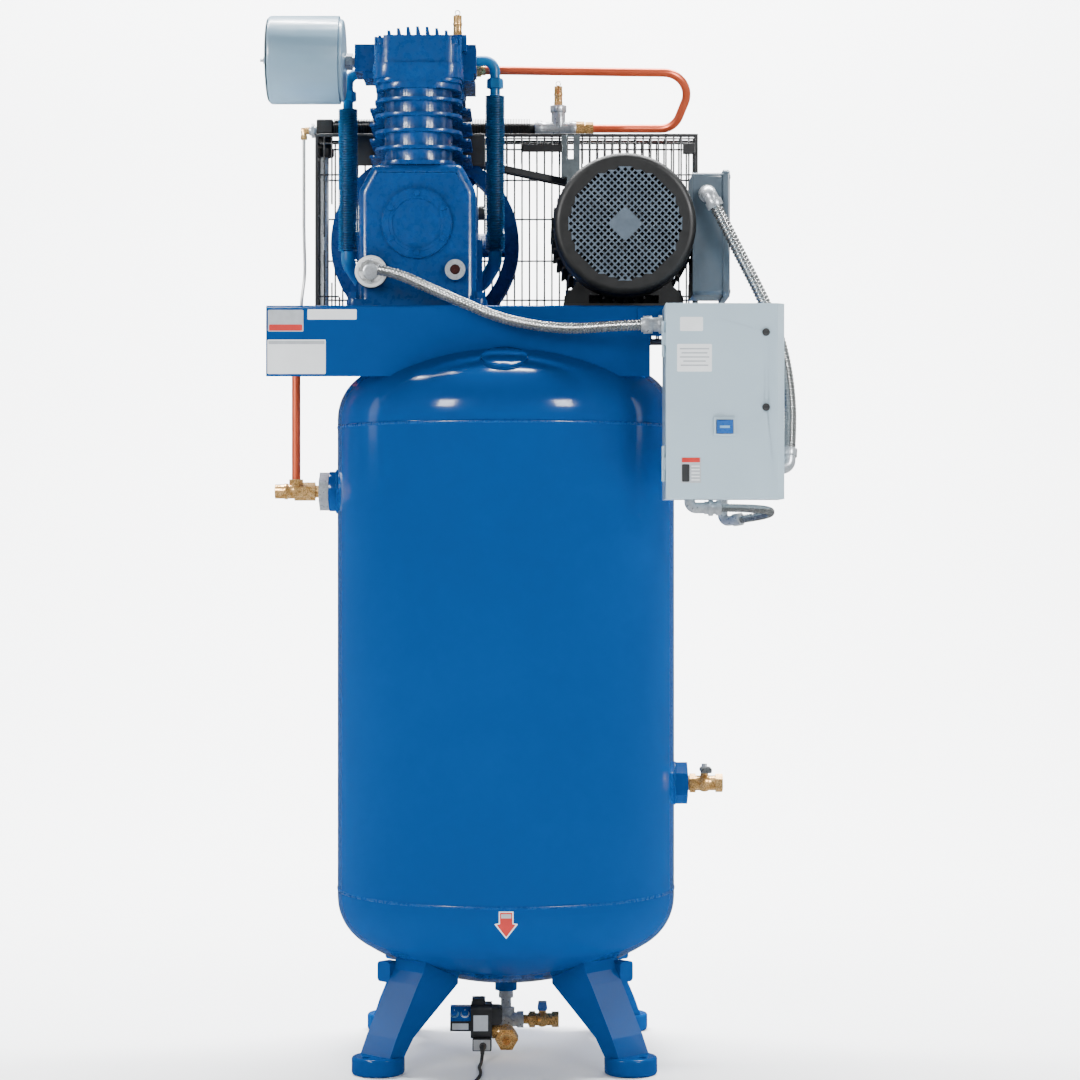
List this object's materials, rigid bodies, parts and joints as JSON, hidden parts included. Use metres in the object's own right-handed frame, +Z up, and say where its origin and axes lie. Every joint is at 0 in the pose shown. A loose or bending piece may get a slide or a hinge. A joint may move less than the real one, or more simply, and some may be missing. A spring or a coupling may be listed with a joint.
{
  "type": "vertical tank compressor",
  "caption": "Belt-driven two-stage piston air compressor and motor on a vertical receiver, with intercooler, belt guard, control box, outlet valve and timed drain.",
  "frame": {"origin": "on the floor, on the tank's axis, at the centre of the four foot bolts", "axes": "+X to the right seen from the front, where the outlet valve and control box are; +Y to the back, where the belt guard is; +Z up"},
  "size_m": [0.9558, 0.782, 1.8766],
  "materials": {
    "tank_paint": "gloss blue enamel",
    "pump_paint": "gloss blue enamel on castings",
    "head_paint": "gloss blue enamel on a light-alloy casting",
    "cooler_paint": "dark blue enamel over fins",
    "filter_paint": "grey-blue powder coat",
    "box_paint": "light grey powder coat",
    "motor_paint": "satin black paint on a light-alloy frame",
    "black_steel": "black powder coat",
    "steel": "machined",
    "iron": "machined casting",
    "alloy": "machined",
    "zinc": "zinc plated",
    "brass": "machined",
    "copper": "drawn copper tube",
    "nylon": "translucent tube",
    "belt_rubber": "matt",
    "filter_paper": "pleated paper",
    "black_plastic": "moulded",
    "blue_plastic": "moulded",
    "cord_rubber": "satin",
    "conduit_steel": "interlocked metal hose"
  },
  "bodies": {
    "compressor": {"tank_shell": "tank_paint", "tank_ports": "tank_paint", "legs": "tank_paint", "platform": "tank_paint", "crankcase": "pump_paint", "crankcase_covers": "pump_paint", "cylinder_front": "pump_paint", "cylinder_rear": "pump_paint", "valve_plate": "pump_paint", "cylinder_head": "head_paint", "pump_bolts": "pump_paint", "bearings": "steel", "crank_throws": "iron", "pistons": "alloy", "connecting_rods": "alloy", "intercooler": "cooler_paint", "air_filter_canister": "filter_paint", "air_filter_element": "filter_paper", "relief_valve_bodies": "brass", "copper_tubes": "copper", "brass_fittings": "brass", "pipe_fittings": "zinc", "aftercooler": "motor_paint", "unloader_tube": "nylon", "motor_housing": "motor_paint", "motor_stator": "steel", "motor_base": "black_steel", "motor_cowl": "motor_paint", "motor_conduit_box": "motor_paint", "v_belts": "belt_rubber", "belt_guard_frame": "black_steel", "belt_guard_mesh": "black_steel", "control_box_body": "box_paint", "starter_gear": "black_plastic", "pressure_switch": "black_plastic", "oil_switch_conduit": "conduit_steel", "motor_conduit": "conduit_steel", "pressure_switch_conduit": "conduit_steel", "conduit_connectors": "zinc", "oil_ports": "zinc", "ball_valve_bodies": "brass", "drain_piping": "zinc", "auto_drain_coil": "black_plastic", "drain_cord": "cord_rubber", "drain_cord_coil": "cord_rubber", "drain_plug": "cord_rubber"},
    "flywheel_assembly": {"flywheel": "pump_paint", "output_shaft": "steel"},
    "motor_rotor_assembly": {"motor_rotor": "steel", "motor_sheave": "iron"},
    "door": {"control_box_door": "box_paint"},
    "latch_upper": {"door_latch_upper": "black_plastic"},
    "latch_lower": {"door_latch_lower": "black_plastic"},
    "button": {"start_button": "blue_plastic"},
    "outlet_handle": {"outlet_valve_handle": "zinc"},
    "drain_handle": {"drain_valve_handle": "blue_plastic"},
    "interstage_stem": {"interstage_relief_stem": "brass"},
    "tank_stem": {"tank_relief_stem": "brass"},
    "knob_on": {"timer_knob_on": "blue_plastic"},
    "knob_off": {"timer_knob_off": "blue_plastic"}
  },
  "joints": [
    {"name": "flywheel_spin", "type": "hinge", "parent": "compressor", "child": "flywheel_assembly", "pos_m": [-0.156, 0.24, 1.486], "axis": [0, 1, 0], "continuous": true},
    {"name": "motor_spin", "type": "hinge", "parent": "compressor", "child": "motor_rotor_assembly", "pos_m": [0.211, 0.24, 1.48], "axis": [0, 1, 0], "continuous": true},
    {"name": "box_door_hinge", "type": "hinge", "parent": "compressor", "child": "door", "pos_m": [0.2716, -0.3187, 1.1615], "axis": [0, 0, -1], "range_deg": [0, 120]},
    {"name": "latch_upper_turn", "type": "hinge", "parent": "door", "child": "latch_upper", "pos_m": [0.4445, -0.335, 1.278], "axis": [0, 1, 0], "range_deg": [0, 90]},
    {"name": "latch_lower_turn", "type": "hinge", "parent": "door", "child": "latch_lower", "pos_m": [0.4445, -0.335, 1.151], "axis": [0, 1, 0], "range_deg": [0, 90]},
    {"name": "start_button_press", "type": "slide", "parent": "door", "child": "button", "axis": [0, 1, 0], "range_m": [0, 0.004], "stiffness_N_per_m": 600, "springref_m": -0.001},
    {"name": "outlet_valve_turn", "type": "hinge", "parent": "compressor", "child": "outlet_handle", "pos_m": [0.36, 0, 0.485], "axis": [0, 0, 1], "range_deg": [0, 90]},
    {"name": "drain_valve_turn", "type": "hinge", "parent": "compressor", "child": "drain_handle", "pos_m": [0.066, 0, 0.056], "axis": [0, 0, 1], "range_deg": [0, 90]},
    {"name": "interstage_relief_pull", "type": "slide", "parent": "compressor", "child": "interstage_stem", "axis": [0, 0, 1], "range_m": [0, 0.003], "stiffness_N_per_m": 1500, "springref_m": -0.001},
    {"name": "tank_relief_pull", "type": "slide", "parent": "compressor", "child": "tank_stem", "axis": [0, 0, 1], "range_m": [0, 0.003], "stiffness_N_per_m": 1500, "springref_m": -0.001},
    {"name": "timer_on_turn", "type": "hinge", "parent": "compressor", "child": "knob_on", "pos_m": [-0.0915, -0.073, 0.078], "axis": [0, -0.7071, 0.7071], "range_deg": [-135, 135]},
    {"name": "timer_off_turn", "type": "hinge", "parent": "compressor", "child": "knob_off", "pos_m": [-0.0725, -0.073, 0.078], "axis": [0, -0.7071, 0.7071], "range_deg": [-135, 135]}
  ],
  "couplings": [
    {"joint": "motor_spin", "follows": "flywheel_spin", "ratio": 1.6829}
  ]
}
